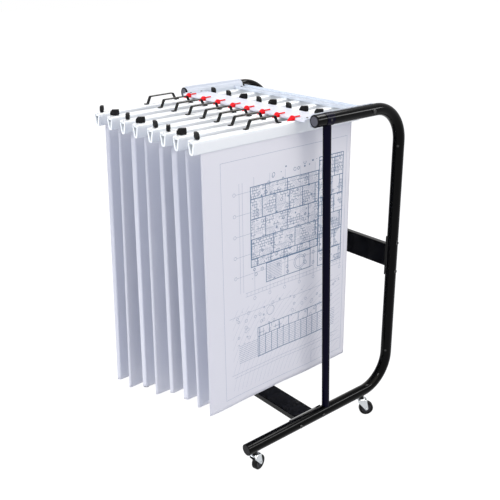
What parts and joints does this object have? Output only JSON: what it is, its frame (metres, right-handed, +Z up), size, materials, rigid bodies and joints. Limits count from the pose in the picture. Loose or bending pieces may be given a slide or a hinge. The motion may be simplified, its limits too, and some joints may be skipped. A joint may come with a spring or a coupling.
{
  "type": "plan hanging rack",
  "caption": "Free-standing tube rack on castors; hooked spring clamps lie across two rails, swing a little and hold large drawings that hang free.",
  "frame": {"origin": "centre of the footprint on the floor", "axes": "+X to the right seen from the open front, +Y to the rear, towards the uprights, +Z up"},
  "size_m": [0.7123, 0.7865, 1.1126],
  "materials": {
    "black_paint": "gloss black powder coat on steel tube",
    "end_cap_plastic": "moulded black plastic, satin",
    "strut_paint": "gloss blue-black powder coat on steel tube",
    "white_paint": "semi-gloss white powder coat on sheet steel",
    "bolt_steel": "black oxide on steel, semi-gloss",
    "socket_plastic": "black nylon",
    "clamp_aluminium": "satin anodised extrusion, silver white",
    "hook_red": "bright red enamel on spring steel, glossy",
    "handle_plastic": "moulded black plastic, satin",
    "paper": "white drawing paper, matt",
    "knob_plastic": "moulded black plastic, ribbed, satin",
    "fork_zinc": "bright zinc plated pressed steel",
    "wheel_rubber": "black rubber, satin"
  },
  "bodies": {
    "frame": {"upper_tubes": "black_paint", "uprights": "black_paint", "base_tubes": "black_paint", "tube_end_caps": "end_cap_plastic", "middle_crossbar": "black_paint", "lower_crossbar": "black_paint", "struts": "strut_paint", "side_covers": "white_paint", "front_rail": "white_paint", "rear_rail": "white_paint", "frame_bolts": "bolt_steel", "castor_sockets": "socket_plastic"},
    "clamp_1": {"clamp_rail_1": "clamp_aluminium", "clamp_handle_1": "handle_plastic", "plan_sheet_1": "paper"},
    "front_knob_1": {"front_knob_1": "knob_plastic"},
    "rear_knob_1": {"rear_knob_1": "knob_plastic"},
    "clamp_2": {"clamp_rail_2": "clamp_aluminium", "clamp_handle_2": "handle_plastic", "plan_sheet_2": "paper"},
    "front_knob_2": {"front_knob_2": "knob_plastic"},
    "rear_knob_2": {"rear_knob_2": "knob_plastic"},
    "clamp_3": {"clamp_rail_3": "clamp_aluminium", "clamp_handle_3": "handle_plastic", "plan_sheet_3": "paper"},
    "front_knob_3": {"front_knob_3": "knob_plastic"},
    "rear_knob_3": {"rear_knob_3": "knob_plastic"},
    "clamp_4": {"clamp_rail_4": "clamp_aluminium", "clamp_handle_4": "handle_plastic", "plan_sheet_4": "paper"},
    "front_knob_4": {"front_knob_4": "knob_plastic"},
    "rear_knob_4": {"rear_knob_4": "knob_plastic"},
    "clamp_5": {"clamp_rail_5": "clamp_aluminium", "clamp_handle_5": "handle_plastic", "plan_sheet_5": "paper"},
    "front_knob_5": {"front_knob_5": "knob_plastic"},
    "rear_knob_5": {"rear_knob_5": "knob_plastic"},
    "clamp_6": {"clamp_rail_6": "clamp_aluminium", "clamp_handle_6": "handle_plastic", "plan_sheet_6": "paper"},
    "front_knob_6": {"front_knob_6": "knob_plastic"},
    "rear_knob_6": {"rear_knob_6": "knob_plastic"},
    "clamp_7": {"clamp_rail_7": "clamp_aluminium", "clamp_handle_7": "handle_plastic", "plan_sheet_7": "paper"},
    "front_knob_7": {"front_knob_7": "knob_plastic"},
    "rear_knob_7": {"rear_knob_7": "knob_plastic"},
    "clamp_8": {"clamp_rail_8": "clamp_aluminium", "clamp_handle_8": "handle_plastic", "plan_sheet_8": "paper"},
    "front_knob_8": {"front_knob_8": "knob_plastic"},
    "rear_knob_8": {"rear_knob_8": "knob_plastic"},
    "castor_left_front": {"castor_fork_left_front": "fork_zinc"},
    "wheel_left_front": {"castor_wheel_left_front": "wheel_rubber"},
    "castor_left_rear": {"castor_fork_left_rear": "fork_zinc"},
    "wheel_left_rear": {"castor_wheel_left_rear": "wheel_rubber"},
    "castor_right_front": {"castor_fork_right_front": "fork_zinc"},
    "wheel_right_front": {"castor_wheel_right_front": "wheel_rubber"},
    "castor_right_rear": {"castor_fork_right_rear": "fork_zinc"},
    "wheel_right_rear": {"castor_wheel_right_rear": "wheel_rubber"}
  },
  "joints": [
    {"name": "clamp_swing_1", "type": "hinge", "parent": "frame", "child": "clamp_1", "pos_m": [-0.263, -0.01715, 1.0871], "axis": [0, 0, 1], "range_deg": [-2, 1]},
    {"name": "front_knob_turn_1", "type": "hinge", "parent": "clamp_1", "child": "front_knob_1", "pos_m": [-0.24066, -0.37225, 1.0871], "axis": [0, 0, 1], "range_deg": [0, 450]},
    {"name": "rear_knob_turn_1", "type": "hinge", "parent": "clamp_1", "child": "rear_knob_1", "pos_m": [-0.26934, 0.08365, 1.0871], "axis": [0, 0, 1], "range_deg": [0, 450]},
    {"name": "clamp_swing_2", "type": "hinge", "parent": "frame", "child": "clamp_2", "pos_m": [-0.18, -0.01715, 1.0871], "axis": [0, 0, 1], "range_deg": [-2, 2]},
    {"name": "front_knob_turn_2", "type": "hinge", "parent": "clamp_2", "child": "front_knob_2", "pos_m": [-0.16262, -0.37253, 1.0871], "axis": [0, 0, 1], "range_deg": [0, 450]},
    {"name": "rear_knob_turn_2", "type": "hinge", "parent": "clamp_2", "child": "rear_knob_2", "pos_m": [-0.18493, 0.08373, 1.0871], "axis": [0, 0, 1], "range_deg": [0, 450]},
    {"name": "clamp_swing_3", "type": "hinge", "parent": "frame", "child": "clamp_3", "pos_m": [-0.102, -0.01715, 1.0871], "axis": [0, 0, 1], "range_deg": [-2, 2]},
    {"name": "front_knob_turn_3", "type": "hinge", "parent": "clamp_3", "child": "front_knob_3", "pos_m": [-0.0871, -0.37264, 1.0871], "axis": [0, 0, 1], "range_deg": [0, 450]},
    {"name": "rear_knob_turn_3", "type": "hinge", "parent": "clamp_3", "child": "rear_knob_3", "pos_m": [-0.10623, 0.08376, 1.0871], "axis": [0, 0, 1], "range_deg": [0, 450]},
    {"name": "clamp_swing_4", "type": "hinge", "parent": "frame", "child": "clamp_4", "pos_m": [-0.024, -0.01715, 1.0871], "axis": [0, 0, 1], "range_deg": [-2, 2]},
    {"name": "front_knob_turn_4", "type": "hinge", "parent": "clamp_4", "child": "front_knob_4", "pos_m": [-0.01655, -0.37287, 1.0871], "axis": [0, 0, 1], "range_deg": [0, 450]},
    {"name": "rear_knob_turn_4", "type": "hinge", "parent": "clamp_4", "child": "rear_knob_4", "pos_m": [-0.02612, 0.08383, 1.0871], "axis": [0, 0, 1], "range_deg": [0, 450]},
    {"name": "clamp_swing_5", "type": "hinge", "parent": "frame", "child": "clamp_5", "pos_m": [0.045, -0.01715, 1.0871], "axis": [0, 0, 1], "range_deg": [-2, 2]},
    {"name": "front_knob_turn_5", "type": "hinge", "parent": "clamp_5", "child": "front_knob_5", "pos_m": [0.06114, -0.37258, 1.0871], "axis": [0, 0, 1], "range_deg": [0, 450]},
    {"name": "rear_knob_turn_5", "type": "hinge", "parent": "clamp_5", "child": "rear_knob_5", "pos_m": [0.04042, 0.08375, 1.0871], "axis": [0, 0, 1], "range_deg": [0, 450]},
    {"name": "clamp_swing_6", "type": "hinge", "parent": "frame", "child": "clamp_6", "pos_m": [0.119, -0.01715, 1.0871], "axis": [0, 0, 1], "range_deg": [-2, 2]},
    {"name": "front_knob_turn_6", "type": "hinge", "parent": "clamp_6", "child": "front_knob_6", "pos_m": [0.12645, -0.37287, 1.0871], "axis": [0, 0, 1], "range_deg": [0, 450]},
    {"name": "rear_knob_turn_6", "type": "hinge", "parent": "clamp_6", "child": "rear_knob_6", "pos_m": [0.11688, 0.08383, 1.0871], "axis": [0, 0, 1], "range_deg": [0, 450]},
    {"name": "clamp_swing_7", "type": "hinge", "parent": "frame", "child": "clamp_7", "pos_m": [0.186, -0.01715, 1.0871], "axis": [0, 0, 1], "range_deg": [-2, 2]},
    {"name": "front_knob_turn_7", "type": "hinge", "parent": "clamp_7", "child": "front_knob_7", "pos_m": [0.18973, -0.37293, 1.0871], "axis": [0, 0, 1], "range_deg": [0, 450]},
    {"name": "rear_knob_turn_7", "type": "hinge", "parent": "clamp_7", "child": "rear_knob_7", "pos_m": [0.18494, 0.08384, 1.0871], "axis": [0, 0, 1], "range_deg": [0, 450]},
    {"name": "clamp_swing_8", "type": "hinge", "parent": "frame", "child": "clamp_8", "pos_m": [0.252, -0.01715, 1.0871], "axis": [0, 0, 1], "range_deg": [-2, 2]},
    {"name": "front_knob_turn_8", "type": "hinge", "parent": "clamp_8", "child": "front_knob_8", "pos_m": [0.25883, -0.37288, 1.0871], "axis": [0, 0, 1], "range_deg": [0, 450]},
    {"name": "rear_knob_turn_8", "type": "hinge", "parent": "clamp_8", "child": "rear_knob_8", "pos_m": [0.25006, 0.08383, 1.0871], "axis": [0, 0, 1], "range_deg": [0, 450]},
    {"name": "castor_swivel_left_front", "type": "hinge", "parent": "frame", "child": "castor_left_front", "pos_m": [-0.322, -0.23885, 0.065], "axis": [0, 0, 1], "continuous": true},
    {"name": "wheel_spin_left_front", "type": "hinge", "parent": "castor_left_front", "child": "wheel_left_front", "pos_m": [-0.33579, -0.22728, 0.025], "axis": [0.6428, 0.766, 0], "continuous": true},
    {"name": "castor_swivel_left_rear", "type": "hinge", "parent": "frame", "child": "castor_left_rear", "pos_m": [-0.322, 0.25515, 0.065], "axis": [0, 0, 1], "continuous": true},
    {"name": "wheel_spin_left_rear", "type": "hinge", "parent": "castor_left_rear", "child": "wheel_left_rear", "pos_m": [-0.331, 0.27074, 0.025], "axis": [0.866, 0.5, 0], "continuous": true},
    {"name": "castor_swivel_right_front", "type": "hinge", "parent": "frame", "child": "castor_right_front", "pos_m": [0.322, -0.23885, 0.065], "axis": [0, 0, 1], "continuous": true},
    {"name": "wheel_spin_right_front", "type": "hinge", "parent": "castor_right_front", "child": "wheel_right_front", "pos_m": [0.31734, -0.22146, 0.025], "axis": [0.9659, 0.2588, 0], "continuous": true},
    {"name": "castor_swivel_right_rear", "type": "hinge", "parent": "frame", "child": "castor_right_rear", "pos_m": [0.322, 0.25515, 0.065], "axis": [0, 0, 1], "continuous": true},
    {"name": "wheel_spin_right_rear", "type": "hinge", "parent": "castor_right_rear", "child": "wheel_right_rear", "pos_m": [0.33232, 0.26989, 0.025], "axis": [0.8192, -0.5736, 0], "continuous": true}
  ]
}
